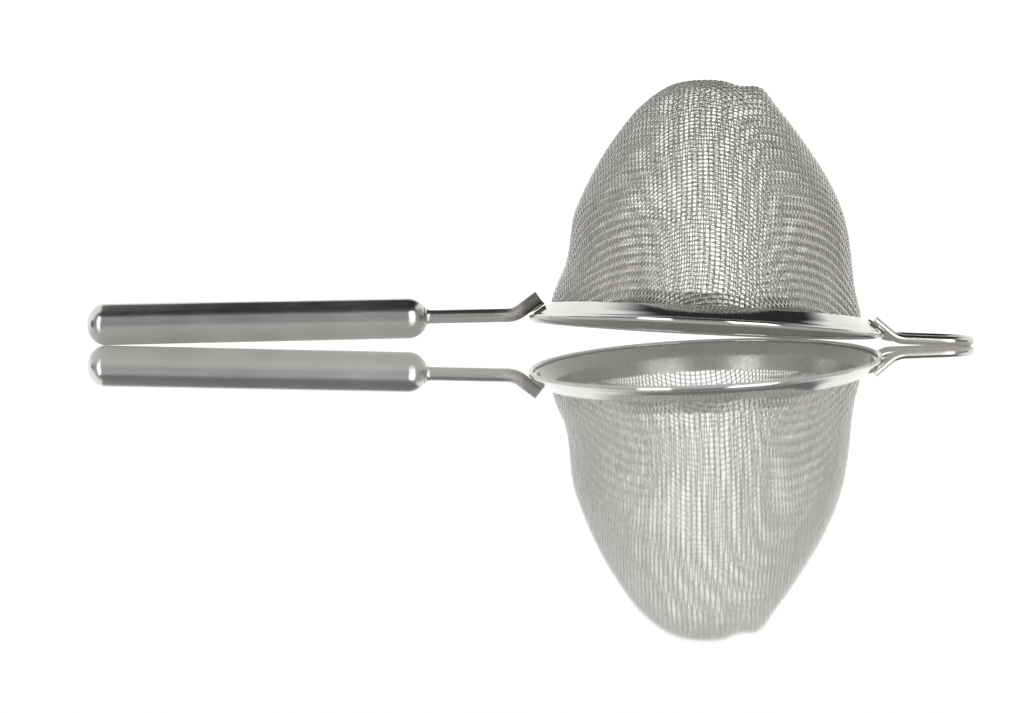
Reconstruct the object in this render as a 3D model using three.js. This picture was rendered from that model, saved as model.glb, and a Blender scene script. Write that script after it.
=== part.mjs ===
// Conical wire-cloth strainer with a tubular handle, lying upside down with its bag upwards.
// Millimetres, +Z up. The resting surface is the plane z = 0. The handle points towards -X and the rest loop towards +X.
// The strainer rests on three places: the back end of the handle, the far side of the rim and the end of the loop.

import * as THREE from 'three';
import { mergeVertices } from 'three/addons/utils/BufferGeometryUtils.js';

// ---------------------------------------------------------------- driving dimensions

const GAP = 0.3;                 // clearance between touching pieces

// head: rim, clamp ring and bag, all turned about one axis
const HEAD_X = 44.745;           // rim centre
const HEAD_Y = -0.0035;
const HEAD_Z = 4.595;            // height of the rim's mid-plane at its centre
const HEAD_PITCH = 3.0;          // degrees, handle side raised
const HEAD_ROLL = -4.1;          // degrees, -Y side raised
const SEG = 48;                  // facets round the head

const BEAD_R = 0.7;              // rolled outer edge of the rim
const RIM_R = 45.5;              // outer radius over the rolled edge
const BEAD_Z = 0.05;
const CONE_ANGLE = 37.1;         // degrees, slope of the rim's face
const CONE_LENGTH = 5.79;        // slant length from the rolled edge to the bag
const SHEET = 0.5;               // thickness of the rim sheet and of the clamp ring
const CLOTH = 0.6;               // thickness over the crossing wires of the cloth
const COLLAR_TOP_Z = 7.1;        // top of the clamp ring's collar, inside the bag

// bag: outer radius over height above the rim's mid-plane, and sideways drift of the section centre
const BAG_OUTER = [
  [4.2, 40.0], [6.0, 39.7], [8.0, 39.1], [10.5, 38.25], [13.0, 37.45], [16.0, 36.75], [20.0, 36.35], [24.0, 35.9],
  [27.5, 35.3], [31.0, 34.1], [35.0, 32.4], [40.0, 29.85], [45.0, 26.8], [50.0, 23.3], [54.5, 19.9], [58.0, 16.5],
  [60.3, 13.9], [62.0, 11.2], [63.0, 8.2], [63.4, 4.6],
];
const BAG_TOP_Z = 63.25;
const BAG_DRIFT = [
  [8.0, 0.0], [10.5, 0.05], [13.0, 0.3], [16.0, 0.45], [20.0, 0.4], [24.0, 0.15], [27.5, -0.05], [31.0, 0.0], [35.0, -0.1],
  [40.0, -0.35], [45.0, -0.77], [50.0, -1.05], [54.5, -1.3], [58.0, -1.2], [60.3, -1.0], [62.0, -0.9], [63.4, -0.6],
];

// handle: hollow tube with two domed caps
const TUBE_X0 = -109.31;         // back end of the tube, at the seam with the rear cap
const TUBE_LENGTH = 77.8;
const TUBE_R_BACK = 5.35;
const TUBE_R_FRONT = 5.2;
const TUBE_WALL = 0.8;
const HANDLE_SLOPE = 1.15;       // degrees, rising towards the head
const REAR_DOME = 4.6;           // depth of the rear cap
const FRONT_DOME = 5.15;         // depth of the front cap
const SPIGOT_LENGTH = 4.0;       // sleeve of each cap inside the tube
const HANDLE_SIDES = 32;

// stem: round rod from the handle to the rim
const STEM_R = 1.75;
const STEM_RISE = 0.28;          // height of the rod's axis over the handle's axis
const STEM_INSIDE = 13.0;        // length held inside the handle
const STEM_BEND_R = 6.5;
const STEM_END_ANGLE = 36.5;     // degrees, slope of the end lying on the rim
const STEM_END = [-42.5, 12.35]; // centre of the cut end: x from the rim centre, height

// rest loop: bent round wire
const LOOP_R = 1.25;
const LOOP_HALF_WIDTH = 7.5;     // between the legs, to the wire's axis
const LOOP_END_X = 69.2;         // outer end, from the rim centre
const LOOP_SLOPE = 2.0;          // degrees, falling outwards
const LEG_ANGLE = 40.1;          // degrees, slope of the legs lying on the rim
const LEG_BEND_R = 2.6;
const LEG_TIP_X = 42.6;          // end of the legs, from the rim centre

const rad = THREE.MathUtils.degToRad;

// ---------------------------------------------------------------- materials

const polished = { roughness: 0.12, metalness: 1.0 };
const satin = { roughness: 0.32, metalness: 1.0 };
const material = (color, look) => new THREE.MeshStandardMaterial({ color, ...look });

// ---------------------------------------------------------------- helpers

function piece(name, geometry, color, look) {
  const mesh = new THREE.Mesh(geometry, material(color, look));
  mesh.name = name;
  return mesh;
}

// keeps only positions, merges shared vertices and turns the faces outwards
function closeUp(source) {
  const bare = new THREE.BufferGeometry();
  bare.setAttribute('position', source.getAttribute('position').clone());
  if (source.index) bare.setIndex(source.index.clone());
  let g = mergeVertices(bare, 1e-4);
  const p = g.getAttribute('position');
  const kept = [];
  let volume = 0;
  const a = new THREE.Vector3(), b = new THREE.Vector3(), c = new THREE.Vector3();
  for (let i = 0; i < g.index.count; i += 3) {
    const ia = g.index.getX(i), ib = g.index.getX(i + 1), ic = g.index.getX(i + 2);
    if (ia === ib || ib === ic || ia === ic) continue;
    a.fromBufferAttribute(p, ia); b.fromBufferAttribute(p, ib); c.fromBufferAttribute(p, ic);
    volume += a.dot(b.clone().cross(c)) / 6;
    kept.push(ia, ib, ic);
  }
  if (volume < 0) for (let i = 0; i < kept.length; i += 3) [kept[i + 1], kept[i + 2]] = [kept[i + 2], kept[i + 1]];
  g.setIndex(kept);
  g = g.toNonIndexed();
  g.computeVertexNormals();
  return g;
}

// closed (or axis-to-axis) profile of [radius, height] turned about Z
function turned(profile, segments, closed) {
  const points = profile.map(([r, z]) => new THREE.Vector2(r, z));
  if (closed) points.push(points[0].clone());
  const g = new THREE.LatheGeometry(points, segments);
  g.rotateX(Math.PI / 2);
  return closeUp(g);
}

function interpolate(table, z) {
  if (z <= table[0][0]) return table[0][1];
  for (let i = 1; i < table.length; i++) {
    const [z0, v0] = table[i - 1], [z1, v1] = table[i];
    if (z <= z1) return v0 + (v1 - v0) * (z - z0) / (z1 - z0);
  }
  return table[table.length - 1][1];
}

// profile offset sideways by d, towards the axis
function inset(profile, d) {
  return profile.map((p, i) => {
    const q0 = profile[Math.max(0, i - 1)], q1 = profile[Math.min(profile.length - 1, i + 1)];
    const tr = q1[0] - q0[0], tz = q1[1] - q0[1], l = Math.hypot(tr, tz);
    return [p[0] - d * tz / l, p[1] + d * tr / l];
  });
}

// round bar along a list of points, with flat ends
function bar(points, radius, sides, steps) {
  const path = new THREE.CatmullRomCurve3(points, false, 'centripetal');
  path.arcLengthDivisions = 2000;
  const section = new THREE.Shape(
    Array.from({ length: sides }, (_, i) => {
      const t = 2 * Math.PI * (i + 0.5) / sides;
      return new THREE.Vector2(radius * Math.cos(t), radius * Math.sin(t));
    }),
  );
  const g = new THREE.ExtrudeGeometry(section, { steps, bevelEnabled: false, extrudePath: path, curveSegments: 1 });
  return closeUp(g);
}

// points of a path made of straight runs joined by arcs of one radius
function rounded(corners, radius, perArc = 7) {
  const out = [corners[0].clone()];
  for (let i = 1; i < corners.length - 1; i++) {
    const c = corners[i];
    const u = corners[i - 1].clone().sub(c).normalize(), v = corners[i + 1].clone().sub(c).normalize();
    const half = Math.acos(THREE.MathUtils.clamp(u.dot(v), -1, 1)) / 2;
    const t = radius / Math.tan(half);
    const centre = c.clone().add(u.clone().add(v).normalize().multiplyScalar(radius / Math.sin(half)));
    const e1 = c.clone().addScaledVector(u, t).sub(centre).normalize();
    const e2 = c.clone().addScaledVector(v, t).sub(centre);
    e2.addScaledVector(e1, -e2.dot(e1)).normalize();
    const sweep = Math.PI - 2 * half;
    for (let k = 0; k <= perArc; k++) {
      const s = sweep * k / perArc;
      out.push(centre.clone().addScaledVector(e1, radius * Math.cos(s)).addScaledVector(e2, radius * Math.sin(s)));
    }
  }
  out.push(corners[corners.length - 1].clone());
  // extra points on the long straight runs keep the curve straight there
  const dense = [out[0]];
  for (let i = 1; i < out.length; i++) {
    const n = Math.max(1, Math.round(out[i].distanceTo(out[i - 1]) / 3));
    for (let k = 1; k <= n; k++) dense.push(out[i - 1].clone().lerp(out[i], k / n));
  }
  return dense;
}

// ---------------------------------------------------------------- head

const beta = rad(CONE_ANGLE);
const slant = [-Math.cos(beta), Math.sin(beta)];   // inwards and up the cone
const normal = [Math.sin(beta), Math.cos(beta)];   // away from the cone's outer face
const beadC = [RIM_R - BEAD_R, BEAD_Z];
const cone = (s, d) => [
  beadC[0] + BEAD_R * normal[0] + s * slant[0] - d * normal[0],
  beadC[1] + BEAD_R * normal[1] + s * slant[1] - d * normal[1],
];
// distance along the cone, at depth d under its face, where the radius is r
const coneAt = (r, d) => (cone(0, d)[0] - r) / -slant[0];

// rim: conical sheet with a rolled outer edge
const rimProfile = [cone(0, 0), cone(CONE_LENGTH - 0.12, 0), cone(CONE_LENGTH, 0.14), cone(CONE_LENGTH, SHEET), cone(0.95, SHEET)];
for (let k = 0; k <= 7; k++) {
  const t = rad(150 + k * (360 + 90 - CONE_ANGLE - 18 - 150) / 7);
  rimProfile.push([beadC[0] + BEAD_R * Math.cos(t), beadC[1] + BEAD_R * Math.sin(t)]);
}

// bag: cloth clamped under the rim's face, then rising as the bag
const brimOut = SHEET + GAP, brimIn = brimOut + CLOTH;
const wallR = BAG_OUTER[0][1];
const outerWall = [
  cone(1.5, brimOut),
  cone(coneAt(wallR, brimOut), brimOut),
  ...BAG_OUTER.map(([z, r]) => [r, z]),
];
const innerRise = inset(BAG_OUTER.map(([z, r]) => [r, z]), CLOTH);
const innerWall = [
  cone(1.5, brimIn),
  cone(coneAt(wallR - CLOTH, brimIn), brimIn),
  ...innerRise,
];
const bagProfile = [...outerWall, [0, BAG_TOP_Z], [0, BAG_TOP_Z - CLOTH], ...innerWall.reverse()];
// the profile runs from the axis to the axis with the brim's edge between, so it closes without a seam
const bagStart = bagProfile.findIndex(([r]) => r === 0);
const bagLoop = [...bagProfile.slice(bagStart + 1), ...bagProfile.slice(0, bagStart + 1)];

function bagGeometry() {
  const g = turned(bagLoop, SEG, false);
  const p = g.getAttribute('position');
  for (let i = 0; i < p.count; i++) p.setX(i, p.getX(i) + interpolate(BAG_DRIFT, p.getZ(i)));
  g.computeVertexNormals();
  return g;
}

// clamp ring: cone under the cloth, turned up into a collar inside the bag
const clampOut = brimIn + GAP, clampIn = clampOut + SHEET;
const collarR = wallR - CLOTH - GAP;
const collarTopR = 38.35;
const clampProfile = [
  cone(2.0, clampOut),
  cone(coneAt(collarR, clampOut), clampOut),
  [collarTopR, COLLAR_TOP_Z],
  [collarTopR - SHEET, COLLAR_TOP_Z],
  cone(coneAt(collarR - SHEET, clampIn), clampIn),
  cone(2.0, clampIn),
];

const head = new THREE.Group();
head.add(
  piece('rim_flange', turned(rimProfile, SEG, true), 0xc9cbce, polished),
  piece('mesh_bag', bagGeometry(), 0xb4b2ae, satin),
  piece('clamp_ring', turned(clampProfile, SEG, true), 0xbfc1c4, polished),
);
head.rotation.set(rad(HEAD_ROLL), rad(HEAD_PITCH), 0, 'XYZ');
head.position.set(HEAD_X, HEAD_Y, HEAD_Z);

// ---------------------------------------------------------------- handle

const handle = new THREE.Group();
handle.position.set(TUBE_X0, 0, TUBE_R_BACK);
handle.rotation.set(0, rad(90 - HANDLE_SLOPE), 0);   // local +Z runs along the handle towards the head

const rIn = Math.min(TUBE_R_BACK, TUBE_R_FRONT) - TUBE_WALL;
const tubeProfile = [[TUBE_R_BACK, GAP / 2], [TUBE_R_FRONT, TUBE_LENGTH - GAP / 2], [rIn, TUBE_LENGTH - GAP / 2], [rIn, GAP / 2]];

// domed shell with a sleeve; dir -1 for the rear cap, +1 for the front cap
function capProfile(z0, dir, r, depth, holeR) {
  const at = (rr, zz) => [rr, z0 + dir * zz];
  const outer = [], inner = [];
  const n = 8;
  for (let k = 0; k <= n; k++) {
    const t = Math.PI / 2 * k / n;
    outer.push([r * Math.cos(t), GAP / 2 + (depth - GAP / 2) * Math.sin(t)]);
    inner.push([(r - 1.8) * Math.cos(t), GAP / 2 + (depth - GAP / 2 - 0.8) * Math.sin(t)]);
  }
  const clip = (list) => {
    if (!holeR) { list[n][0] = 0; return list; }
    const kept = list.filter(([rr]) => rr > holeR + 0.05);
    const last = kept[kept.length - 1], next = list[kept.length];
    const f = (last[0] - holeR) / (last[0] - next[0]);
    kept.push([holeR, last[1] + f * (next[1] - last[1])]);
    return kept;
  };
  const o = clip(outer).map(([rr, zz]) => at(rr, zz));
  const i = clip(inner).map(([rr, zz]) => at(rr, zz));
  const sleeveR = rIn - GAP;
  const ends = [at(r - 1.8, -SPIGOT_LENGTH), at(sleeveR, -SPIGOT_LENGTH), at(sleeveR, GAP / 2)];
  return [...i.reverse(), ...ends, ...o];
}

handle.add(
  piece('handle_tube', turned(tubeProfile, HANDLE_SIDES, true), 0xa8a6a1, satin),
  piece('handle_rear_cap', turned(capProfile(0, -1, TUBE_R_BACK, REAR_DOME, 0), HANDLE_SIDES, false), 0xa8a6a1, satin),
  piece('handle_front_cap', turned(capProfile(TUBE_LENGTH, 1, TUBE_R_FRONT, FRONT_DOME, STEM_R + GAP + STEM_RISE), HANDLE_SIDES, true), 0xa8a6a1, satin),
);

// ---------------------------------------------------------------- stem

const slope = rad(HANDLE_SLOPE);
const noseX = TUBE_X0 + (TUBE_LENGTH + FRONT_DOME) * Math.cos(slope);
const axisZ = (x) => TUBE_R_BACK + STEM_RISE + (x - TUBE_X0) * Math.tan(slope);
const endAngle = rad(STEM_END_ANGLE);
const endX = HEAD_X + STEM_END[0], endZ = STEM_END[1];
const cornerX = (endZ - endX * Math.tan(endAngle) - axisZ(0)) / (Math.tan(slope) - Math.tan(endAngle));
const stemPath = rounded(
  [
    new THREE.Vector3(noseX - STEM_INSIDE, 0, axisZ(noseX - STEM_INSIDE)),
    new THREE.Vector3(cornerX, 0, axisZ(cornerX)),
    new THREE.Vector3(endX, 0, endZ),
  ],
  STEM_BEND_R,
);
const stem = piece('handle_stem', bar(stemPath, STEM_R, 16, 26), 0xa3a19c, satin);

// weld ring where the rod leaves the front cap
const capWeld = piece(
  'stem_cap_weld',
  turned([[STEM_R + GAP, 0.0], [STEM_R + 0.95, 0.0], [STEM_R + 0.9, 0.35], [STEM_R + 0.62, 0.75], [STEM_R + GAP, 0.95]], 20, true),
  0xb5b3ae, satin,
);
capWeld.position.set(noseX + 0.05, 0, axisZ(noseX));
capWeld.rotation.set(0, rad(90 - HANDLE_SLOPE), 0);

// short weld bead: a rounded bar along direction dir
function weldBead(name, centre, dir, halfLength, r) {
  const points = [];
  const n = 6;
  for (let k = 0; k <= n; k++) {
    const t = Math.PI * k / n;
    points.push(new THREE.Vector2(k === 0 || k === n ? 0 : r * Math.sin(t), -halfLength * Math.cos(t)));
  }
  const g = closeUp(new THREE.LatheGeometry(points, 10));
  const m = piece(name, g, 0x5f5852, { roughness: 0.6, metalness: 0.8 });
  m.quaternion.setFromUnitVectors(new THREE.Vector3(0, 1, 0), dir.clone().normalize());
  m.position.copy(centre);
  return m;
}

// point on the rim's face: head angle phi, distance s up the cone, height d over the face; in the row frame
head.updateMatrixWorld(true);
function onRim(phi, s, d) {
  const [r, z] = cone(s, -d);
  return new THREE.Vector3(r * Math.cos(phi), r * Math.sin(phi), z).applyMatrix4(head.matrixWorld);
}
const faceDirection = (phi) => onRim(phi, 5, 0).sub(onRim(phi, 0, 0)).normalize();

const stemWelds = [-1, 1].map((side) => weldBead(
  side < 0 ? 'stem_weld_near' : 'stem_weld_far',
  onRim(Math.PI - (side * 2.72 - 0.36) / 43, 3.2, 1.2), faceDirection(Math.PI), 2.4, 0.8,
));

// ---------------------------------------------------------------- rest loop

const loopTan = Math.tan(rad(LOOP_SLOPE));
const loopEnd = HEAD_X + LOOP_END_X - LOOP_R;          // the wire's axis at the outer end
const flatZ = (x) => -0.03 + LOOP_R / Math.cos(rad(LOOP_SLOPE)) + (loopEnd - x) * loopTan;
const legTan = Math.tan(rad(LEG_ANGLE));

// axis of one leg on the rim's face, as [x at the bend, height at the bend, x at the tip, height at the tip]
function leg(side) {
  const y = side * LOOP_HALF_WIDTH;
  const phi = Math.asin(y / 43.3);
  const foot = onRim(phi, 2.2, LOOP_R + GAP + 0.03);
  const x = (foot.z + foot.x * legTan - LOOP_R - loopEnd * loopTan) / (legTan - loopTan);
  const tipX = HEAD_X + LEG_TIP_X;
  return [new THREE.Vector3(tipX, y, foot.z - (tipX - foot.x) * legTan), new THREE.Vector3(x, y, flatZ(x))];
}

const [nearTip, nearBend] = leg(-1);
const [farTip, farBend] = leg(1);
const arcX = loopEnd - LOOP_HALF_WIDTH;
const loopPoints = [...rounded([nearTip, nearBend, new THREE.Vector3(arcX, -LOOP_HALF_WIDTH, flatZ(arcX))], LEG_BEND_R, 5)];
for (let k = 1; k < 12; k++) {
  const t = -Math.PI / 2 + Math.PI * k / 12;
  const x = arcX + LOOP_HALF_WIDTH * Math.cos(t);
  loopPoints.push(new THREE.Vector3(x, LOOP_HALF_WIDTH * Math.sin(t), flatZ(x)));
}
loopPoints.push(...rounded([farTip, farBend, new THREE.Vector3(arcX, LOOP_HALF_WIDTH, flatZ(arcX))], LEG_BEND_R, 5).reverse());
const loop = piece('rest_loop', bar(loopPoints, LOOP_R, 12, 60), 0xc4c6c9, polished);

const loopWelds = [-1, 1].map((side) => {
  const y = side * (LOOP_HALF_WIDTH + 2.05);
  return weldBead(side < 0 ? 'loop_weld_near' : 'loop_weld_far', onRim(Math.asin(y / 43), 3.0, 0.95), faceDirection(Math.asin(y / 43)), 1.7, 0.6);
});

// ---------------------------------------------------------------- whole strainer

const strainer = new THREE.Group();
strainer.add(head, handle, stem, capWeld, ...stemWelds, loop, ...loopWelds);

export default strainer;
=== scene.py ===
import math
import random

import bmesh
import bpy
import numpy as np
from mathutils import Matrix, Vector, noise


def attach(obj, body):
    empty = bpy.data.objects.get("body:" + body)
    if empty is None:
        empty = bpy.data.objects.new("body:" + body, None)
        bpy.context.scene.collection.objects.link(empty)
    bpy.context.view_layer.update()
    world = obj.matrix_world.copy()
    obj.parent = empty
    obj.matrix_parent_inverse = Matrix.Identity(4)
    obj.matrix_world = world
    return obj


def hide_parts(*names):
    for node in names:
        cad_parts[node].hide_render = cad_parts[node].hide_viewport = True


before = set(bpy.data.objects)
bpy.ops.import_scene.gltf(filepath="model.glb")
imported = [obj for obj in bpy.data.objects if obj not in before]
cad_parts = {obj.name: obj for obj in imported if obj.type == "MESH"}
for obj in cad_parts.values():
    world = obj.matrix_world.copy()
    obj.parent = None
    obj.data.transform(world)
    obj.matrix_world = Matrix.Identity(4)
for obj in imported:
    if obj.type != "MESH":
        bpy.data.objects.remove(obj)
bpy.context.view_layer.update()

MM = 0.001
rad = math.radians
rng = random.Random(11)

# ---------------------------------------------------------------- dimensions, millimetres, as in the CAD part

HEAD = (44.745, -0.0035, 4.595)
HEAD_PITCH, HEAD_ROLL = 3.0, -4.1
BEAD_R, RIM_R, BEAD_Z = 0.7, 45.5, 0.05
CONE_ANGLE, CONE_LENGTH, SHEET, CLOTH, GAP = 37.1, 5.79, 0.5, 0.6, 0.3
COLLAR_TOP_Z, COLLAR_TOP_R = 7.1, 38.35
BAG = [(4.2, 40.0), (6.0, 39.7), (8.0, 39.1), (10.5, 38.25), (13.0, 37.45), (16.0, 36.75), (20.0, 36.35), (24.0, 35.9),
       (27.5, 35.3), (31.0, 34.1), (35.0, 32.4), (40.0, 29.85), (45.0, 26.8), (50.0, 23.3), (54.5, 19.9), (58.0, 16.5),
       (60.3, 13.9), (62.0, 11.2), (63.0, 8.2), (63.4, 4.6)]
BAG_TOP = 63.25
DRIFT = np.array([(8.0, 0.0), (10.5, .05), (13.0, .3), (16.0, .45), (20.0, .4), (24.0, .15), (27.5, -.05), (31.0, 0.0),
                  (35.0, -.1), (40.0, -.35), (45.0, -.77), (50.0, -1.05), (54.5, -1.3), (58.0, -1.2), (60.3, -1.0),
                  (62.0, -.9), (63.4, -.6)])

TUBE_X0, TUBE_LENGTH, TUBE_BACK, TUBE_FRONT, HANDLE_SLOPE = -109.31, 77.8, 5.35, 5.2, 1.15
REAR_DOME, FRONT_DOME = 4.6, 5.15
STEM_R, STEM_RISE, STEM_BEND_R, STEM_END_ANGLE, STEM_END = 1.75, 0.28, 6.5, 36.5, (-42.5, 12.35)
LOOP_R, LOOP_HALF, LOOP_END_X, LOOP_SLOPE, LEG_ANGLE, LEG_BEND_R, LEG_TIP_X = 1.25, 7.5, 69.2, 2.0, 40.1, 2.6, 42.6

# woven cloth
PITCH_X, PITCH_Y = 1.41, 1.18        # between the wires, before the cloth was drawn
WIRE_R = 0.165
CRIMP = 0.165


def turn_x(a):
    c, s = math.cos(rad(a)), math.sin(rad(a))
    return np.array([[1, 0, 0], [0, c, -s], [0, s, c]])


def turn_y(a):
    c, s = math.cos(rad(a)), math.sin(rad(a))
    return np.array([[c, 0, s], [0, 1, 0], [-s, 0, c]])


HEAD_R = turn_x(HEAD_ROLL) @ turn_y(HEAD_PITCH)
HANDLE_R = turn_y(90 - HANDLE_SLOPE)


def head(points):
    return np.asarray(points, float) @ HEAD_R.T + np.array(HEAD)


def handle(points):
    return np.asarray(points, float) @ HANDLE_R.T + np.array([TUBE_X0, 0, TUBE_BACK])


# ---------------------------------------------------------------- materials


def new_material(name, color, roughness, metallic=1.0, **more):
    m = bpy.data.materials.new(name)
    m.use_nodes = True
    p = m.node_tree.nodes["Principled BSDF"]
    p.inputs["Base Color"].default_value = (*color, 1)
    p.inputs["Roughness"].default_value = roughness
    p.inputs["Metallic"].default_value = metallic
    for key, value in more.items():
        p.inputs[key.replace("_", " ")].default_value = value
    return m, m.node_tree, p


def ramp(tree, source, stops):
    node = tree.nodes.new("ShaderNodeValToRGB")
    while len(node.color_ramp.elements) > 1:
        node.color_ramp.elements.remove(node.color_ramp.elements[-1])
    for k, (at, value) in enumerate(stops):
        color = value if isinstance(value, tuple) else (value, value, value)
        e = node.color_ramp.elements[0] if k == 0 else node.color_ramp.elements.new(at)
        e.position = at
        e.color = (*color, 1)
    tree.links.new(source, node.inputs["Fac"])
    return node.outputs["Color"]


def stretched_noise(tree, scale, stretch=(1, 1, 1), detail=3.0, turn=(0, 0, 0)):
    coordinates = tree.nodes.new("ShaderNodeTexCoord")
    mapping = tree.nodes.new("ShaderNodeMapping")
    mapping.inputs["Rotation"].default_value = turn
    mapping.inputs["Scale"].default_value = stretch
    texture = tree.nodes.new("ShaderNodeTexNoise")
    texture.inputs["Scale"].default_value = scale
    texture.inputs["Detail"].default_value = detail
    tree.links.new(coordinates.outputs["Object"], mapping.inputs["Vector"])
    tree.links.new(mapping.outputs["Vector"], texture.inputs["Vector"])
    return texture.outputs["Fac"]


def bump(tree, shader, heights, strength, distance):
    previous = None
    for height, part in heights:
        node = tree.nodes.new("ShaderNodeBump")
        node.inputs["Strength"].default_value = strength * part
        node.inputs["Distance"].default_value = distance
        tree.links.new(height, node.inputs["Height"])
        if previous is not None:
            tree.links.new(previous, node.inputs["Normal"])
        previous = node.outputs["Normal"]
    tree.links.new(previous, shader.inputs["Normal"])


def steel(name, dark, light, rough, grain, stretch, bump_strength, bump_distance=0.00004):
    """Steel with tone, polish and fine scratches that vary; grain is how often, stretch gives their direction."""
    m, tree, p = new_material(name, light, rough[0])
    wide = stretched_noise(tree, 60.0, (1, 1, 1), 4.0)
    fine = stretched_noise(tree, grain, stretch, 5.0)
    tree.links.new(ramp(tree, wide, [(0.3, dark), (0.7, light)]), p.inputs["Base Color"])
    mix = tree.nodes.new("ShaderNodeMath")
    mix.operation = "MULTIPLY_ADD"
    tree.links.new(fine, mix.inputs[0])
    mix.inputs[1].default_value = 0.6
    scaled = tree.nodes.new("ShaderNodeMath")
    scaled.operation = "MULTIPLY"
    tree.links.new(wide, scaled.inputs[0])
    scaled.inputs[1].default_value = 0.4
    tree.links.new(scaled.outputs[0], mix.inputs[2])
    tree.links.new(ramp(tree, mix.outputs[0], [(0.35, rough[0]), (0.68, rough[1])]), p.inputs["Roughness"])
    bump(tree, p, [(fine, 1.0), (wide, 0.35)], bump_strength, bump_distance)
    return m


flange_steel = steel("polished sheet", (.60, .595, .58), (.68, .675, .66), (.04, .10), 420.0, (1, 1, 1), 0.05, 0.00002)
# painted shade: the clamp ring is given a darker tone than the other steel, to stand for the dark it reflects behind
# the cloth
collar_steel_painted_shade = steel("collar sheet painted shade", (.42, .415, .40), (.50, .495, .48), (.24, .36), 700.0, (1, 1, 1), 0.06, 0.00003)
handle_steel = steel("satin tube", (.55, .54, .52), (.66, .65, .625), (.17, .27), 2600.0, (.06, 1, 1), 0.035, 0.00002)
cap_steel = steel("satin cap", (.53, .52, .50), (.65, .64, .615), (.18, .30), 900.0, (1, 1, 1), 0.08, 0.00003)
loop_steel = steel("polished wire", (.50, .485, .46), (.60, .585, .56), (.16, .26), 800.0, (.1, 1, 1), 0.06, 0.00003)


def rod_material():
    """Satin rod whose end is darkened and roughened by welding heat."""
    m = steel("satin rod", (.52, .51, .49), (.64, .63, .60), (.20, .32), 900.0, (.05, 1, 1), 0.12, 0.00003)
    tree = m.node_tree
    p = tree.nodes["Principled BSDF"]
    coordinates = tree.nodes.new("ShaderNodeTexCoord")
    split = tree.nodes.new("ShaderNodeSeparateXYZ")
    tree.links.new(coordinates.outputs["Object"], split.inputs[0])
    blot = stretched_noise(tree, 900.0, (1, 1, 1), 6.0)
    wander = tree.nodes.new("ShaderNodeMath")
    wander.operation = "MULTIPLY_ADD"
    tree.links.new(blot, wander.inputs[0])
    wander.inputs[1].default_value = 0.006
    tree.links.new(split.outputs["X"], wander.inputs[2])
    heat = tree.nodes.new("ShaderNodeMapRange")
    heat.interpolation_type = "SMOOTHSTEP"
    heat.inputs["From Min"].default_value = -0.0065
    heat.inputs["From Max"].default_value = 0.0035
    tree.links.new(wander.outputs[0], heat.inputs["Value"])
    tint = ramp(tree, heat.outputs[0], [(0.0, (.60, .59, .56)), (0.25, (.50, .45, .38)), (0.5, (.34, .31, .28)), (1.0, (.20, .19, .18))])
    mix = tree.nodes.new("ShaderNodeMix")
    mix.data_type = "RGBA"
    tree.links.new(heat.outputs[0], mix.inputs["Factor"])
    base = p.inputs["Base Color"].links[0].from_socket
    tree.links.new(base, mix.inputs["A"])
    tree.links.new(tint, mix.inputs["B"])
    tree.links.new(mix.outputs["Result"], p.inputs["Base Color"])
    rough_base = p.inputs["Roughness"].links[0].from_socket
    add = tree.nodes.new("ShaderNodeMath")
    add.operation = "MULTIPLY_ADD"
    add.use_clamp = True
    tree.links.new(heat.outputs[0], add.inputs[0])
    add.inputs[1].default_value = 0.38
    tree.links.new(rough_base, add.inputs[2])
    tree.links.new(add.outputs[0], p.inputs["Roughness"])
    return m


def weld_material():
    m, tree, p = new_material("weld metal", (.16, .15, .14), .5, .85)
    fine = stretched_noise(tree, 1800.0, (1, 1, 1), 6.0)
    wide = stretched_noise(tree, 420.0, (1, 1, 1), 3.0)
    tree.links.new(ramp(tree, wide, [(0.3, (.16, .15, .14)), (0.5, (.30, .285, .26)), (0.62, (.40, .36, .31)), (0.75, (.28, .285, .30))]), p.inputs["Base Color"])
    tree.links.new(ramp(tree, fine, [(0.35, .38), (0.7, .7)]), p.inputs["Roughness"])
    bump(tree, p, [(fine, 1.0), (wide, 0.6)], 0.5, 0.0001)
    return m


rod_steel = rod_material()
weld_metal = weld_material()
# the wires are a third of a millimetre thick: each takes one of these tones
wire_tones = [new_material("wire tone %d" % k, c, r)[0] for k, (c, r) in enumerate([
    ((.535, .518, .49), .27), ((.495, .479, .45), .30), ((.58, .566, .54), .24), ((.445, .428, .40), .33), ((.52, .508, .486), .28)])]

# ---------------------------------------------------------------- mesh helpers


def finish_piece(obj, nodes):
    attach(obj, "root")
    if nodes:
        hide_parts(*nodes)
    return obj


def solid(name, points, faces, material, nodes=(), angle=38):
    me = bpy.data.meshes.new(name)
    me.from_pydata((np.asarray(points) * MM).tolist(), [], faces)
    bm = bmesh.new()
    bm.from_mesh(me)
    bmesh.ops.remove_doubles(bm, verts=bm.verts, dist=1e-7)
    bmesh.ops.recalc_face_normals(bm, faces=bm.faces)
    bm.to_mesh(me)
    bm.free()
    me.polygons.foreach_set("use_smooth", [True] * len(me.polygons))
    me.set_sharp_from_angle(angle=rad(angle))
    me.materials.append(material)
    obj = bpy.data.objects.new(name, me)
    bpy.context.scene.collection.objects.link(obj)
    return finish_piece(obj, nodes)


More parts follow.
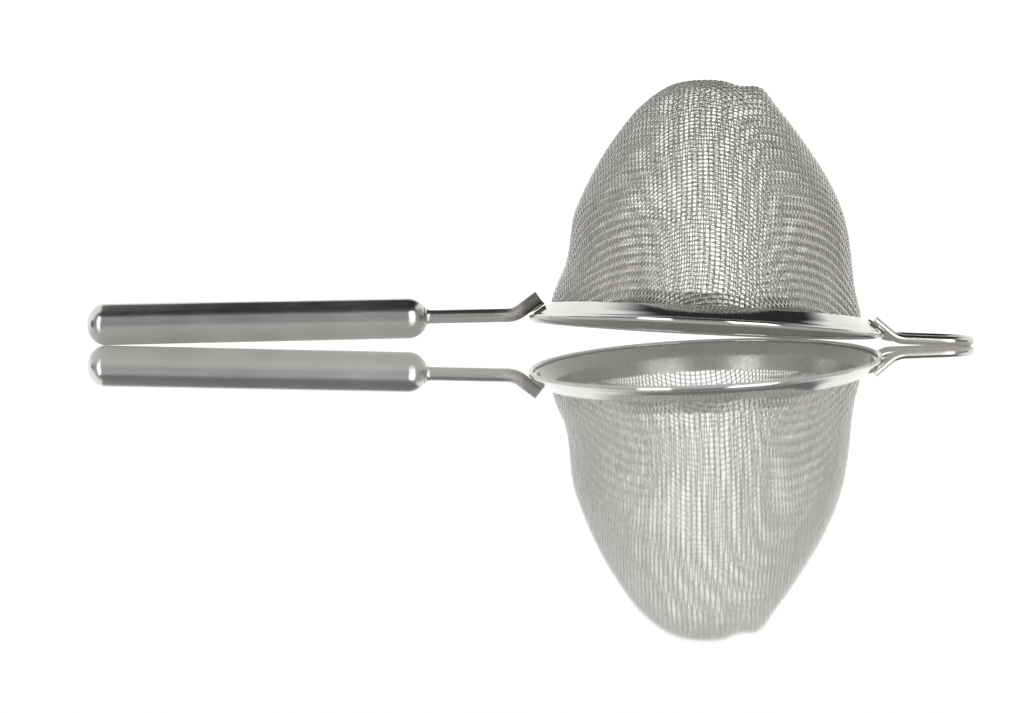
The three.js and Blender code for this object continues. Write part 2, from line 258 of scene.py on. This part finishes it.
def lathe(profile, seg, closed=True):
    """Points and faces of a profile of (radius, height) turned about Z; closed profiles are rings."""
    points, rings = [], []
    for r, z in profile:
        if r < 1e-9:
            rings.append([len(points)] * seg)
            points.append((0, 0, z))
        else:
            rings.append(list(range(len(points), len(points) + seg)))
            points += [(r * math.cos(2 * math.pi * k / seg), r * math.sin(2 * math.pi * k / seg), z) for k in range(seg)]
    faces = []
    pairs = list(zip(rings, rings[1:] + rings[:1])) if closed else list(zip(rings, rings[1:]))
    for a, b in pairs:
        for k in range(seg):
            quad = [a[k], a[(k + 1) % seg], b[(k + 1) % seg], b[k]]
            face = [v for n, v in enumerate(quad) if v not in quad[:n]]
            if len(face) > 2:
                faces.append(face)
    return np.array(points), faces


def rounded(corners, radius, per_arc=26, step=1.5):
    corners = [np.array(c, float) for c in corners]
    out = [corners[0]]
    for k in range(1, len(corners) - 1):
        c = corners[k]
        u, v = corners[k - 1] - c, corners[k + 1] - c
        u, v = u / np.linalg.norm(u), v / np.linalg.norm(v)
        half = math.acos(max(-1, min(1, u @ v))) / 2
        t = radius / math.tan(half)
        w = (u + v) / np.linalg.norm(u + v)
        centre = c + w * radius / math.sin(half)
        e1 = (c + u * t - centre) / radius
        e2 = c + v * t - centre
        e2 = e2 - e1 * (e1 @ e2)
        e2 /= np.linalg.norm(e2)
        sweep_angle = math.pi - 2 * half
        for n in range(per_arc + 1):
            a = sweep_angle * n / per_arc
            out.append(centre + radius * (math.cos(a) * e1 + math.sin(a) * e2))
    out.append(corners[-1])
    dense = [out[0]]
    for k in range(1, len(out)):
        n = max(1, round(np.linalg.norm(out[k] - out[k - 1]) / step))
        dense += [out[k - 1] + (out[k] - out[k - 1]) * j / n for j in range(1, n + 1)]
    return np.array(dense)


def sweep(path, radius, sides, chamfer):
    """Round bar along a path, its ends cut square and lightly broken."""
    path = np.asarray(path, float)
    d = np.r_[0, np.cumsum(np.linalg.norm(np.diff(path, axis=0), axis=1))]
    s = np.unique(np.r_[0, chamfer, d[(d > chamfer * 1.5) & (d < d[-1] - chamfer * 1.5)], d[-1] - chamfer, d[-1]])
    centre = np.stack([np.interp(s, d, path[:, k]) for k in range(3)], 1)
    radii = np.full(len(s), radius)
    radii[0] = radii[-1] = radius - chamfer
    tangent = np.gradient(centre, axis=0)
    tangent /= np.linalg.norm(tangent, axis=1, keepdims=True)
    points = []
    side = np.cross(tangent[0], [0, 0, 1.0]) if abs(tangent[0][2]) < 0.9 else np.array([0, 1.0, 0])
    for k in range(len(s)):
        side = side - tangent[k] * (side @ tangent[k])
        side /= np.linalg.norm(side)
        up = np.cross(side, tangent[k])
        for n in range(sides):
            a = 2 * math.pi * n / sides
            points.append(centre[k] + radii[k] * (math.cos(a) * side + math.sin(a) * up))
    faces = [[k * sides + n, k * sides + (n + 1) % sides, (k + 1) * sides + (n + 1) % sides, (k + 1) * sides + n]
             for k in range(len(s) - 1) for n in range(sides)]
    faces.append(list(range(sides)))
    faces.append([(len(s) - 1) * sides + n for n in range(sides)])
    return np.array(points), faces


def lump(centre, along, up, size, seed, roughness=0.22):
    """A run of weld metal: a long rounded lump, knobbly; size is half length, half width, half height."""
    a = np.array(along, float); a /= np.linalg.norm(a)
    u = np.array(up, float); u -= a * (u @ a); u /= np.linalg.norm(u)
    w = np.cross(a, u)
    nu, nv = 28, 18
    points, faces = [], []
    for i in range(nv + 1):
        t = math.pi * i / nv
        for k in range(nu):
            p = 2 * math.pi * k / nu
            d = np.array([math.cos(t), math.sin(t) * math.cos(p), math.sin(t) * math.sin(p)])
            f = 1 + roughness * noise.noise(Vector(d * 1.9 + seed * 7.3)) + 0.5 * roughness * noise.noise(Vector(d * 5.1 + seed * 3.1))
            f += 0.05 * math.cos(d[0] * size[0] * 9.0)
            points.append(np.array(centre) + f * (a * d[0] * size[0] + w * d[1] * size[1] + u * d[2] * size[2]))
    for i in range(nv):
        for k in range(nu):
            faces.append([i * nu + k, i * nu + (k + 1) % nu, (i + 1) * nu + (k + 1) % nu, (i + 1) * nu + k])
    # the poles are single points
    points = np.array(points)
    points[:nu] = points[:nu].mean(0)
    points[-nu:] = points[-nu:].mean(0)
    return points, faces


# ---------------------------------------------------------------- rim and clamp ring

beta = rad(CONE_ANGLE)
SLANT = (-math.cos(beta), math.sin(beta))
NORMAL = (math.sin(beta), math.cos(beta))
BEAD_C = (RIM_R - BEAD_R, BEAD_Z)


def cone(s, d):
    return (BEAD_C[0] + BEAD_R * NORMAL[0] + s * SLANT[0] - d * NORMAL[0],
            BEAD_C[1] + BEAD_R * NORMAL[1] + s * SLANT[1] - d * NORMAL[1])


def cone_at(r, d):
    return (cone(0, d)[0] - r) / -SLANT[0]


def on_rim(phi, s, d):
    r, z = cone(s, -d)
    return head([[r * math.cos(phi), r * math.sin(phi), z]])[0]


rim_profile = []
# the sheet dips by about an eighth of a millimetre where it runs into the rolled edge, which leaves a crease
crease_s, crease_d = BEAD_R * math.sin(rad(35)) + .02, BEAD_R * (1 - math.cos(rad(35)))
for k in range(18):
    s_ = crease_s + (CONE_LENGTH * 8 / 9 - crease_s) * k / 17
    f_ = min(1.0, (s_ - crease_s) / 1.7)
    rim_profile.append(cone(s_, crease_d * (1 - f_ * f_ * (3 - 2 * f_))))
for k in range(7):                                         # broken inner edge
    a = math.pi / 2 * k / 6
    rim_profile.append(cone(CONE_LENGTH - 0.14 + 0.14 * math.sin(a), 0.14 - 0.14 * math.cos(a)))
rim_profile += [cone(CONE_LENGTH, SHEET - 0.06), cone(CONE_LENGTH - 0.06, SHEET)]
for k in range(6):
    rim_profile.append(cone(4.8 - k * 0.77, SHEET))
for k in range(37):
    t = rad(150 + k * (360 + 90 - CONE_ANGLE + 33 - 150) / 36)
    rim_profile.append((BEAD_C[0] + BEAD_R * math.cos(t), BEAD_C[1] + BEAD_R * math.sin(t)))
points, faces = lathe(rim_profile, 240)
solid("rim_flange_sheet", head(points), faces, flange_steel, ["rim_flange"], 30)

brim_in = SHEET + GAP + CLOTH
clamp_out, clamp_in = brim_in + GAP, brim_in + GAP + SHEET
wall_r = BAG[0][1]
collar_r = wall_r - CLOTH - GAP
corner_out = cone(cone_at(collar_r, clamp_out), clamp_out)
corner_in = cone(cone_at(collar_r - SHEET, clamp_in), clamp_in)


def soften(a, b, c, r, n=8):
    """Arc that replaces corner b between a and c."""
    return [tuple(p[::2]) for p in rounded([(a[0], 0, a[1]), (b[0], 0, b[1]), (c[0], 0, c[1])], r, n, 99)[1:-1]]


clamp_profile = [cone(2.0, clamp_out)]
clamp_profile += soften(cone(2.0, clamp_out), corner_out, (COLLAR_TOP_R, COLLAR_TOP_Z), 1.0)
clamp_profile += [(COLLAR_TOP_R, COLLAR_TOP_Z - 0.1), (COLLAR_TOP_R - 0.1, COLLAR_TOP_Z), (COLLAR_TOP_R - SHEET + 0.1, COLLAR_TOP_Z), (COLLAR_TOP_R - SHEET, COLLAR_TOP_Z - 0.1)]
clamp_profile += soften((COLLAR_TOP_R - SHEET, COLLAR_TOP_Z - 0.1), corner_in, cone(2.0, clamp_in), 1.4)
clamp_profile += [cone(2.0, clamp_in), cone(1.93, clamp_in - 0.08), cone(1.93, clamp_out + 0.08)]
points, faces = lathe(clamp_profile, 240)
solid("clamp_ring_sheet", head(points), faces, collar_steel_painted_shade, ["clamp_ring"], 30)

# ---------------------------------------------------------------- woven wire bag
# A flat cloth of two sets of wires drawn over the bag's shape: the wires keep their length between crossings and
# only the angle at the crossings changes.


def bag_profile(inset=WIRE_R + CRIMP, n=1600):
    z = np.array([BAG_TOP] + [b[0] for b in BAG][::-1] + [3.0])
    r = np.array([0.0] + [b[1] for b in BAG][::-1] + [40.1])
    d = np.r_[0, np.cumsum(np.hypot(np.diff(r), np.diff(z)))]
    t = np.linspace(0, d[-1], 4000)
    rr, zz = np.interp(t, d, r), np.interp(t, d, z)
    sg = 1.6 / (t[1] - t[0])
    k = np.arange(-int(4 * sg), int(4 * sg) + 1)
    g = np.exp(-.5 * (k / sg) ** 2)
    g /= g.sum()
    m = len(k) // 2
    rp = np.r_[-rr[m:0:-1], rr, 2 * rr[-1] - rr[-2:-m - 2:-1]]
    zp = np.r_[zz[m:0:-1], zz, 2 * zz[-1] - zz[-2:-m - 2:-1]]
    rs, zs = np.convolve(rp, g, "valid"), np.convolve(zp, g, "valid")
    tr, tz = np.gradient(rs), np.gradient(zs)
    l = np.hypot(tr, tz)
    rs, zs = rs + inset * tz / l, zs - inset * tr / l
    rs[0] = 0
    d = np.r_[0, np.cumsum(np.hypot(np.diff(rs), np.diff(zs)))]
    s = np.linspace(0, d[-1], n)
    return s, np.interp(s, d, rs), np.interp(s, d, zs)


PS, PR, PZ = bag_profile()


def bag_point(s, th):
    r, z = np.interp(s, PS, PR), np.interp(s, PS, PZ)
    dx = np.interp(z, DRIFT[:, 0], DRIFT[:, 1])
    return np.stack([r * np.cos(th) + dx, r * np.sin(th), z], -1)


def at(q):
    return bag_point(np.hypot(q[..., 0], q[..., 1]), np.arctan2(q[..., 1], q[..., 0]))


def walk(th, step, n):
    out = [0.0]
    for _ in range(n):
        s0 = out[-1]
        s = s0 + step
        for _ in range(20):
            s -= np.linalg.norm(bag_point(s, th) - bag_point(s0, th)) - step
        out.append(s)
    return np.array(out)


def quadrant(sx, sy, I, J):
    """Crossings of one quarter of the cloth: each is one pitch from its two neighbours nearer the middle wires."""
    a, b = PITCH_X, PITCH_Y
    thx, thy = (0.0 if sx > 0 else math.pi), math.pi / 2 * sy
    wx, wy = walk(thx, a, I), walk(thy, b, J)
    P = np.full((I + 1, J + 1, 3), np.nan)
    Q = np.full((I + 1, J + 1, 2), np.nan)
    P[:, 0], P[0, :] = bag_point(wx, thx), bag_point(wy, thy)
    Q[:, 0] = np.stack([wx * np.cos(thx), wx * np.sin(thx)], -1)
    Q[0, :] = np.stack([wy * np.cos(thy), wy * np.sin(thy)], -1)
    P[0, 0] = bag_point(0.0, 0.0)
    for k in range(2, I + J + 1):
        i = np.arange(max(1, k - J), min(I, k - 1) + 1)
        j = k - i
        A, B = P[i - 1, j], P[i, j - 1]
        q = Q[i - 1, j] + Q[i, j - 1] - Q[i - 1, j - 1]
        bad = np.isnan(A[:, 0]) | np.isnan(B[:, 0])
        for _ in range(25):
            p, e = at(q), 1e-4
            px, py = (at(q + [e, 0]) - p) / e, (at(q + [0, e]) - p) / e
            dA, dB = p - A, p - B
            f1, f2 = (dA ** 2).sum(-1) - a * a, (dB ** 2).sum(-1) - b * b
            j11, j12 = 2 * (dA * px).sum(-1), 2 * (dA * py).sum(-1)
            j21, j22 = 2 * (dB * px).sum(-1), 2 * (dB * py).sum(-1)
            det = j11 * j22 - j12 * j21
            det = np.where(np.abs(det) < 1e-6, 1e-6, det)
            dq = np.stack([(f1 * j22 - f2 * j12) / det, (f2 * j11 - f1 * j21) / det], -1)
            l = np.linalg.norm(dq, axis=-1, keepdims=True)
            q = q - np.where(l > 0.4, dq * 0.4 / np.maximum(l, 1e-9), dq)
        p = at(q)
        err = np.abs(np.linalg.norm(p - A, axis=-1) - a) + np.abs(np.linalg.norm(p - B, axis=-1) - b)
        ok = (err < 1e-3) & ~bad
        P[i, j] = np.where(ok[:, None], p, np.nan)
        Q[i, j] = np.where(ok[:, None], q, np.nan)
    return P


I, J = 60, 72
G = np.full((2 * I + 1, 2 * J + 1, 3), np.nan)
with np.errstate(invalid="ignore"):
    for sx in (1, -1):
        for sy in (1, -1):
            P = quadrant(sx, sy, I, J)
            gi, gj = I + sx * np.arange(I + 1), J + sy * np.arange(J + 1)
            G[np.ix_(gi, gj)] = P
G[G[..., 2] < 3.2] = np.nan


def differences(axis):
    ahead, behind = np.full_like(G, np.nan), np.full_like(G, np.nan)
    if axis == 0:
        ahead[:-1], behind[1:] = G[1:] - G[:-1], G[1:] - G[:-1]
    else:
        ahead[:, :-1], behind[:, 1:] = G[:, 1:] - G[:, :-1], G[:, 1:] - G[:, :-1]
    both = ahead + behind
    return np.where(np.isnan(both), np.where(np.isnan(ahead), behind, ahead), both)


N = np.cross(differences(0), differences(1))
N /= np.linalg.norm(N, axis=-1, keepdims=True)
N[np.isnan(N)] = 0
# small unevenness of the drawn cloth, always inwards
high = np.clip((G[..., 2] - 8) / 30, 0, 1)
uneven = (np.sin(G[..., 0] * .21 + 1.0) * np.sin(G[..., 1] * .17 + .4) + np.sin(G[..., 2] * .19 + G[..., 0] * .11)) * .5
G = G - N * (0.14 + 0.10 * uneven * high * .35)[..., None]
# the blunt end: a shallow dip right of the middle and a shoulder beyond it
end = np.clip((G[..., 2] - 53) / 8, 0, 1)
end = end * end * (3 - 2 * end)
G[..., 2] += end * (1.25 * np.exp(-((G[..., 0] - 11.8) / 3.4) ** 2 - (G[..., 1] / 13) ** 2) - 0.85 * np.exp(-((G[..., 0] - 5.2) / 3.0) ** 2 - (G[..., 1] / 16) ** 2))


def wire_run(centres, normals, first_sign):
    """Centre line of one crimped wire through its crossings."""
    m = len(centres)
    prev = np.vstack([2 * centres[0] - centres[1], centres[:-1]])
    nxt = np.vstack([centres[1:], 2 * centres[-1] - centres[-2]])
    tang = (nxt - prev) / 2
    sign = first_sign * (-1.0) ** np.arange(m)
    out, nor = [], []
    for t in (0.0, 1 / 3, 2 / 3):
        h00, h10 = 2 * t ** 3 - 3 * t ** 2 + 1, t ** 3 - 2 * t ** 2 + t
        h01, h11 = -2 * t ** 3 + 3 * t ** 2, t ** 3 - t ** 2
        p = h00 * centres[:-1] + h10 * tang[:-1] + h01 * centres[1:] + h11 * tang[1:]
        n = (1 - t) * normals[:-1] + t * normals[1:]
        n = n / np.linalg.norm(n, axis=1, keepdims=True)
        out.append(p + n * (CRIMP * math.cos(math.pi * t) * sign[:-1])[:, None])
        nor.append(n)
    p = np.stack(out, 1).reshape(-1, 3)
    n = np.stack(nor, 1).reshape(-1, 3)
    return np.vstack([p, centres[-1] + normals[-1] * CRIMP * sign[-1]]), np.vstack([n, normals[-1]])


SIDES = 6


def cloth_piece(name, wires, nodes=()):
    verts, quads, tones, base = [], [], [], 0
    angle = 2 * np.pi * np.arange(SIDES) / SIDES
    for p, n in wires:
        t = np.gradient(p, axis=0)
        t /= np.linalg.norm(t, axis=1, keepdims=True)
        n = n - t * (n * t).sum(1, keepdims=True)
        n /= np.linalg.norm(n, axis=1, keepdims=True)
        b = np.cross(t, n)
        ring = p[:, None] + WIRE_R * (np.cos(angle)[None, :, None] * n[:, None] + np.sin(angle)[None, :, None] * b[:, None])
        m = len(p)
        verts.append(ring.reshape(-1, 3))
        k, s = np.meshgrid(np.arange(m - 1), np.arange(SIDES), indexing="ij")
        a0 = base + k * SIDES + s
        a1 = base + k * SIDES + (s + 1) % SIDES
        quads.append(np.stack([a0, a1, a1 + SIDES, a0 + SIDES], -1).reshape(-1, 4))
        e = base + (m - 1) * SIDES
        quads.append(np.array([[base + 3, base + 2, base + 1, base], [base + 5, base + 4, base + 3, base], [e, e + 1, e + 2, e + 3], [e, e + 3, e + 4, e + 5]]))
        # tone: one for the wire, with short stretches of another
        main = rng.choice([0, 0, 1, 2, 4])
        tone = np.full(m - 1, main)
        at_ = 0
        while at_ < m - 1:
            length = rng.randint(9, 60)
            if rng.random() < 0.25:
                tone[at_:at_ + length] = rng.choice([0, 1, 2, 3, 4])
            at_ += length
        tones.append(np.repeat(tone, SIDES))
        tones.append(np.full(4, main))
        base += m * SIDES
    V = head(np.vstack(verts)) * MM
    Q = np.vstack(quads).astype(np.int32)
    me = bpy.data.meshes.new(name)
    me.vertices.add(len(V))
    me.vertices.foreach_set("co", V.astype(np.float32).ravel())
    me.loops.add(Q.size)
    me.loops.foreach_set("vertex_index", Q.ravel())
    me.polygons.add(len(Q))
    me.polygons.foreach_set("loop_start", np.arange(0, Q.size, 4, dtype=np.int32))
    for tone in wire_tones:
        me.materials.append(tone)
    me.polygons.foreach_set("material_index", np.concatenate(tones).astype(np.int32))
    me.update(calc_edges=True)
    me.polygons.foreach_set("use_smooth", np.ones(len(Q), bool))
    me.set_sharp_from_angle(angle=rad(75))
    obj = bpy.data.objects.new(name, me)
    bpy.context.scene.collection.objects.link(obj)
    return finish_piece(obj, nodes)


def longest_run(valid):
    best, start = (0, 0), None
    for k, v in enumerate(list(valid) + [False]):
        if v and start is None:
            start = k
        if not v and start is not None:
            if k - start > best[1] - best[0]:
                best = (start, k)
            start = None
    return best


def wires_along(axis, indices):
    out = []
    for k in indices:
        line, nor = (G[k], N[k]) if axis == 0 else (G[:, k], N[:, k])
        lo, hi = longest_run(~np.isnan(line[:, 0]) & (np.linalg.norm(nor, axis=1) > .5))
        if hi - lo < 3:
            continue
        sign = (1 if (k + lo) % 2 == 0 else -1) * (1 if axis == 0 else -1)
        out.append(wire_run(line[lo:hi], nor[lo:hi], sign))
    return out


# wire i of the first set and wire j of the second cross at G[i, j]: where one is outside, the other is inside
cloth_piece("cloth_uprights_left", wires_along(0, range(0, I)), ["mesh_bag"])
cloth_piece("cloth_uprights_right", wires_along(0, range(I, 2 * I + 1)))
cloth_piece("cloth_rounds_near", wires_along(1, range(0, J)))
cloth_piece("cloth_rounds_far", wires_along(1, range(J, 2 * J + 1)))

# edge of the cloth held between rim and clamp ring
brim_out = SHEET + GAP
brim = [cone(1.6, brim_out + .12), cone(cone_at(wall_r - .1, brim_out + .12), brim_out + .12), (wall_r - .18, 3.6), (wall_r - .5, 3.6), cone(cone_at(wall_r - .48, brim_in - .12), brim_in - .12), cone(1.6, brim_in - .12)]
points, faces = lathe(brim, 240)
solid("cloth_clamped_edge", head(points), faces, wire_tones[3], (), 40)

# ---------------------------------------------------------------- handle

handle_profile = []
for k in range(31):
    t = math.pi / 2 * (1 - k / 30)
    handle_profile.append((TUBE_BACK * math.cos(t) if k else 0.0, -REAR_DOME * math.sin(t)))
for k in range(1, 40):
    f = k / 40
    handle_profile.append((TUBE_BACK + (TUBE_FRONT - TUBE_BACK) * f, TUBE_LENGTH * f))
for k in range(31):
    t = math.pi / 2 * k / 30
    handle_profile.append((TUBE_FRONT * math.cos(t) if k < 30 else 0.0, TUBE_LENGTH + FRONT_DOME * math.sin(t)))
points, faces = lathe(handle_profile, 120, False)
solid("handle_body", handle(points), faces, handle_steel, ["handle_tube", "handle_rear_cap", "handle_front_cap"], 60)

# ---------------------------------------------------------------- stem

slope = rad(HANDLE_SLOPE)
nose_x = TUBE_X0 + (TUBE_LENGTH + FRONT_DOME) * math.cos(slope)


def axis_z(x):
    return TUBE_BACK + STEM_RISE + (x - TUBE_X0) * math.tan(slope)


end_angle = rad(STEM_END_ANGLE)
end_x, end_z = HEAD[0] + STEM_END[0], STEM_END[1]
corner_x = (end_z - end_x * math.tan(end_angle) - axis_z(0)) / (math.tan(slope) - math.tan(end_angle))
stem_path = rounded([(nose_x - 5, 0, axis_z(nose_x - 5)), (corner_x, 0, axis_z(corner_x)), (end_x, 0, end_z)], STEM_BEND_R)
points, faces = sweep(stem_path, STEM_R, 48, 0.1)
solid("stem_rod", points, faces, rod_steel, ["handle_stem"], 35)

# fillet of weld metal where the rod leaves the front cap
fillet = [(STEM_R - .1, -.9), (STEM_R + .95, -.75)]
for k in range(1, 10):
    t = math.pi / 2 * k / 10
    fillet.append((STEM_R + .92 - .86 * math.sin(t), -.72 + 1.35 * (1 - math.cos(t))))
fillet += [(STEM_R - .1, .75)]
points, faces = lathe(fillet, 60)
for k, p in enumerate(points):
    f = 1 + 0.06 * noise.noise(Vector(p * .9)) + .03 * noise.noise(Vector(p * 2.4))
    points[k] = (p[0] * f, p[1] * f, p[2])
points = points @ HANDLE_R.T + np.array([nose_x + .05, 0, axis_z(nose_x)])
solid("stem_fillet", points, faces, cap_steel, ["stem_cap_weld"], 50)

face_dir = on_rim(math.pi, 5, 0) - on_rim(math.pi, 0, 0)
face_up = on_rim(math.pi, 3, 1) - on_rim(math.pi, 3, 0)
for side, node in ((-1, "stem_weld_near"), (1, "stem_weld_far")):
    centre = on_rim(math.pi - (side * 1.55 - .1) / 43, 3.2, 0.55)
    points, faces = lump(centre, face_dir, face_up, (1.9, 0.45, 0.36), 1.0 + side * .4)
    solid(node + "_bead", points, faces, weld_metal, [node], 60)

# ---------------------------------------------------------------- rest loop

loop_tan = math.tan(rad(LOOP_SLOPE))
loop_end = HEAD[0] + LOOP_END_X - LOOP_R
leg_tan = math.tan(rad(LEG_ANGLE))


def flat_z(x):
    return -0.03 + LOOP_R / math.cos(rad(LOOP_SLOPE)) + (loop_end - x) * loop_tan


def leg(side):
    y = side * LOOP_HALF
    foot = on_rim(math.asin(y / 43.3), 2.2, LOOP_R + 0.05)
    x = (foot[2] + foot[0] * leg_tan - LOOP_R - loop_end * loop_tan) / (leg_tan - loop_tan)
    tip_x = HEAD[0] + LEG_TIP_X
    return (tip_x, y, foot[2] - (tip_x - foot[0]) * leg_tan), (x, y, flat_z(x))


arc_x = loop_end - LOOP_HALF
near_tip, near_bend = leg(-1)
far_tip, far_bend = leg(1)
loop_path = list(rounded([near_tip, near_bend, (arc_x, -LOOP_HALF, flat_z(arc_x))], LEG_BEND_R + 4.0, 30))
for k in range(1, 48):
    t = -math.pi / 2 + math.pi * k / 48
    x = arc_x + LOOP_HALF * math.cos(t)
    loop_path.append((x, LOOP_HALF * math.sin(t), flat_z(x)))
loop_path += list(rounded([far_tip, far_bend, (arc_x, LOOP_HALF, flat_z(arc_x))], LEG_BEND_R + 4.0, 30))[::-1]
points, faces = sweep(loop_path, LOOP_R, 40, 0.12)
solid("rest_loop_wire", points, faces, loop_steel, ["rest_loop"], 35)

for side, node in ((-1, "loop_weld_near"), (1, "loop_weld_far")):
    y = side * (LOOP_HALF + 1.15)
    phi = math.asin(y / 43)
    points, faces = lump(on_rim(phi, 3.0, .42), on_rim(phi, 5, 0) - on_rim(phi, 0, 0), on_rim(phi, 3, 1) - on_rim(phi, 3, 0), (1.4, .46, .42), 3.0 + side * .6)
    solid(node + "_bead", points, faces, weld_metal, [node], 60)

# ---------------------------------------------------------------- floor, light, camera

scene = bpy.context.scene
floor_mesh = bpy.data.meshes.new("floor")
F = 12000.0
# a thin glossy sheet that lifts very slightly in front of the strainer
lines = [-F, -760.0] + [-750.0 + 5.0 * k for k in range(101)] + [-200.0, 0.0, F]


def lift(y):
    return 0.5 * 5.1e-5 * max(0.0, -max(y, -750.0) - 254.0) ** 2


floor_mesh.from_pydata([(x * MM, y * MM, lift(y) * MM) for y in lines for x in (-F, F)], [], [(2 * k, 2 * k + 1, 2 * k + 3, 2 * k + 2) for k in range(len(lines) - 1)])
floor_mesh.polygons.foreach_set("use_smooth", [True] * len(floor_mesh.polygons))
floor = bpy.data.objects.new("floor", floor_mesh)
scene.collection.objects.link(floor)
floor.location = (0, 0, -0.00001)
floor_white, _, _ = new_material("gloss white sheet", (.60, .595, .585), .03, 0.0, IOR=1.5, Coat_Weight=1.0, Coat_Roughness=0.02, Coat_IOR=1.5, Emission_Color=(1.0, .985, .955, 1), Emission_Strength=0.22)
floor_mesh.materials.append(floor_white)

world = bpy.data.worlds.new("studio")
scene.world = world
world.use_nodes = True
wt = world.node_tree
wt.nodes.clear()
w_out = wt.nodes.new("ShaderNodeOutputWorld")
w_bg = wt.nodes.new("ShaderNodeBackground")
wt.links.new(w_bg.outputs[0], w_out.inputs[0])
w_dir = wt.nodes.new("ShaderNodeTexCoord")
w_xyz = wt.nodes.new("ShaderNodeSeparateXYZ")
wt.links.new(w_dir.outputs["Generated"], w_xyz.inputs[0])


def wmath(op, a, b=None, clamp=False):
    node = wt.nodes.new("ShaderNodeMath")
    node.operation = op
    node.use_clamp = clamp
    for k, v in enumerate((a, b)):
        if v is None:
            continue
        if isinstance(v, (int, float)):
            node.inputs[k].default_value = v
        else:
            wt.links.new(v, node.inputs[k])
    return node.outputs[0]


def step_between(v, lo, hi):
    node = wt.nodes.new("ShaderNodeMapRange")
    node.interpolation_type = "SMOOTHSTEP"
    node.inputs["From Min"].default_value = lo
    node.inputs["From Max"].default_value = hi
    if lo > hi:
        node.inputs["From Min"].default_value, node.inputs["From Max"].default_value = hi, lo
        node.inputs["To Min"].default_value, node.inputs["To Max"].default_value = 1, 0
    wt.links.new(v, node.inputs["Value"])
    return node.outputs[0]


def wmix(fac, a, b):
    node = wt.nodes.new("ShaderNodeMix")
    node.data_type = "RGBA"
    wt.links.new(fac, node.inputs["Factor"])
    for key, v in (("A", a), ("B", b)):
        if isinstance(v, tuple):
            node.inputs[key].default_value = (*v, 1)
        else:
            wt.links.new(v, node.inputs[key])
    return node.outputs["Result"]


X, Y, Z = w_xyz.outputs
around = wmath("ARCTAN2", Z, wmath("MULTIPLY", Y, -1.0))        # 0 towards the viewer, pi/2 overhead, pi behind
sideways = wmath("DIVIDE", X, wmath("MAXIMUM", Z, 0.02))
azimuth = wmath("ARCTAN2", X, wmath("MULTIPLY", Y, -1.0))       # 0 towards the viewer, positive to the right

WHITE, FRONT, DARK = (1.16, 1.16, 1.15), (.30, .31, .33), (.035, .035, .037)
sky = wmix(step_between(Y, -.28, .02), FRONT, WHITE)
upper = wmath("MULTIPLY", step_between(Z, .64, .72), step_between(Y, -.2, -.36))
sky = wmix(upper, sky, (.11, .11, .115))
sides = wmath("MULTIPLY", step_between(wmath("ABSOLUTE", X), .62, .80), step_between(Z, .9, .75))
sky = wmix(wmath("MULTIPLY", sides, step_between(Y, -.05, .25)), sky, (1.25, 1.25, 1.24))
# a thin dark strip at the far left and right
sky = wmix(step_between(wmath("ABSOLUTE", X), .955, .985), sky, (.10, .10, .105))
dark = wmath("MULTIPLY", step_between(around, rad(34), rad(66)), step_between(around, rad(143), rad(137)))
dark = wmath("MULTIPLY", dark, wmath("MULTIPLY", step_between(sideways, -.42, -.16), step_between(sideways, .85, .60)))
sky = wmix(dark, sky, DARK)
for centre, half, low, high in ((-37, 10, .02, .66), (28, 15, .02, .66)):
    box = wmath("MULTIPLY", step_between(azimuth, rad(centre - half - 2), rad(centre - half)), step_between(azimuth, rad(centre + half + 2), rad(centre + half)))
    box = wmath("MULTIPLY", box, wmath("MULTIPLY", step_between(Z, low, low + .04), step_between(Z, high, high - .04)))
    sky = wmix(box, sky, (3.6, 3.6, 3.56))
wt.links.new(sky, w_bg.inputs["Color"])

camera_data = bpy.data.cameras.new("camera")
camera_data.sensor_width = 36
camera_data.lens = 2600 / 1024 * 36
camera_data.clip_start = 0.01
camera_data.clip_end = 60
camera = bpy.data.objects.new("camera", camera_data)
camera.location = ((HEAD[0] - 49.5) * MM, -0.668, 0.0335)
camera.rotation_euler = (rad(90 - 3.12), 0, 0)
scene.collection.objects.link(camera)
scene.camera = camera
scene.view_settings.view_transform = "Standard"
scene.view_settings.look = "None"

bpy.context.view_layer.update()
